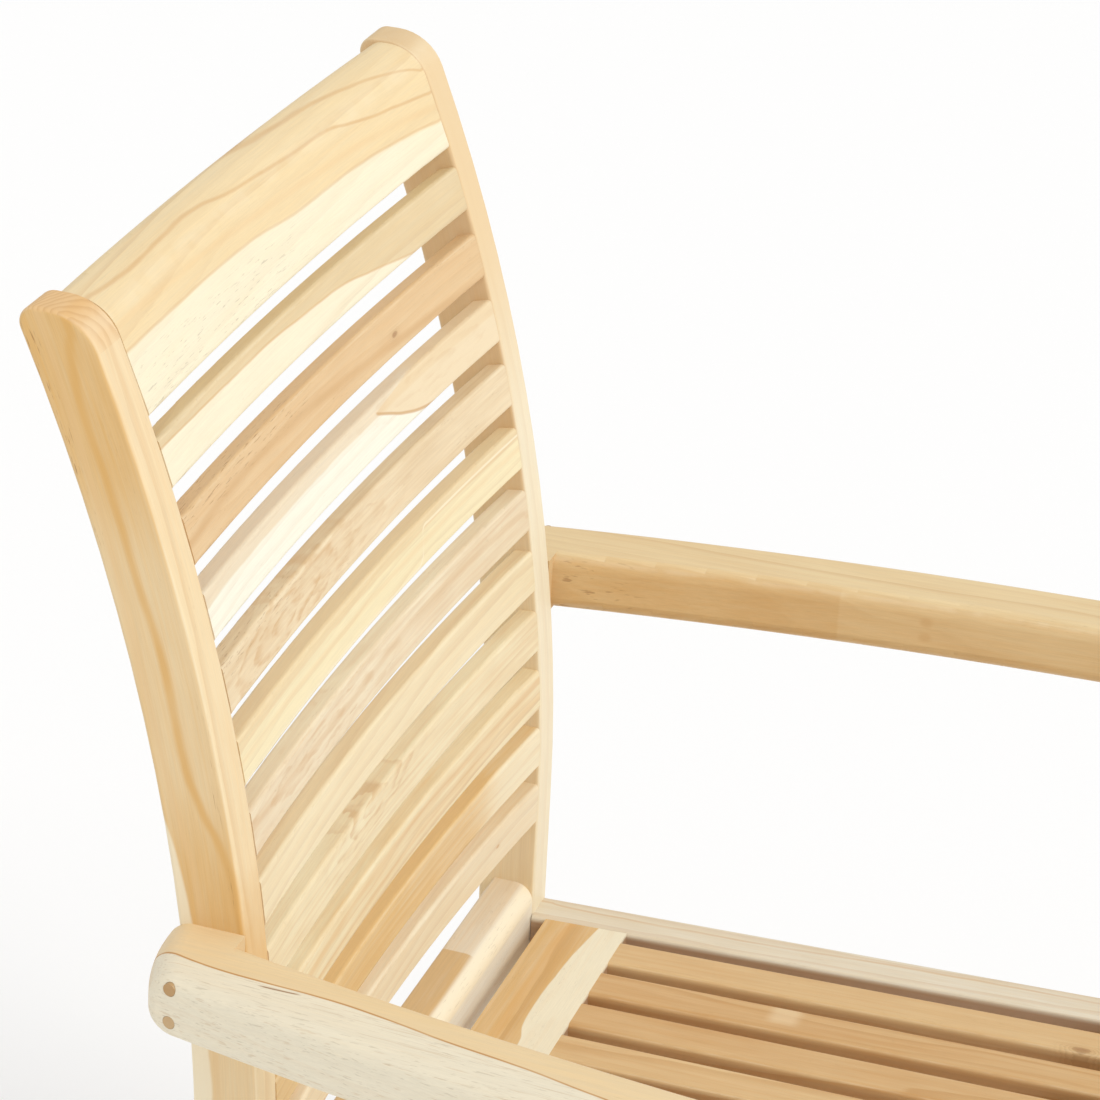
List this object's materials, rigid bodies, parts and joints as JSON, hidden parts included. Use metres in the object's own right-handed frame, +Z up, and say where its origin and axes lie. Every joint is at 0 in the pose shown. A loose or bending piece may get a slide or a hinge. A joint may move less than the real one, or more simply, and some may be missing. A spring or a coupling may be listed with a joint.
{
  "type": "slatted garden armchair",
  "caption": "Garden seat in pale teak: high curved slatted back, flat slatted seat, flared arms on straight front legs and sabre-curved rear legs.",
  "frame": {"origin": "on the floor, at the middle of the overall width and depth", "axes": "+X to the sitter's left, +Y to the rear, +Z up; the sitter faces -Y"},
  "size_m": [0.6816, 0.5662, 0.996],
  "materials": {
    "frame_wood": "sanded, unfinished teak",
    "back_wood": "sanded, unfinished teak, boards of mixed tone",
    "seat_wood": "sanded, unfinished teak, boards of mixed tone",
    "arm_wood": "sanded, unfinished teak, open bleached grain on the outside",
    "plug_wood": "darker teak plugs, sanded flush"
  },
  "bodies": {
    "root": {"arm_left": "arm_wood", "arm_plugs": "plug_wood", "arm_right": "arm_wood", "back_slat_01": "back_wood", "back_slat_02": "back_wood", "back_slat_03": "back_wood", "back_slat_04": "back_wood", "back_slat_05": "back_wood", "back_slat_06": "back_wood", "back_slat_07": "back_wood", "back_slat_08": "back_wood", "back_slat_09": "back_wood", "back_slat_10": "back_wood", "back_slat_11": "back_wood", "front_leg_left": "frame_wood", "front_leg_right": "frame_wood", "lower_back_rail": "frame_wood", "rear_leg_left": "frame_wood", "rear_leg_right": "frame_wood", "seat_back_board": "frame_wood", "seat_bearer": "frame_wood", "seat_front_board": "frame_wood", "seat_slat_01": "seat_wood", "seat_slat_02": "seat_wood", "seat_slat_03": "seat_wood", "seat_slat_04": "seat_wood", "seat_slat_05": "seat_wood", "seat_slat_06": "seat_wood", "seat_slat_07": "seat_wood", "seat_slat_08": "seat_wood", "seat_slat_09": "seat_wood", "seat_slat_10": "seat_wood", "seat_slat_11": "seat_wood", "side_rail_left": "frame_wood", "side_rail_right": "frame_wood", "top_rail": "back_wood"}
  },
  "joints": []
}
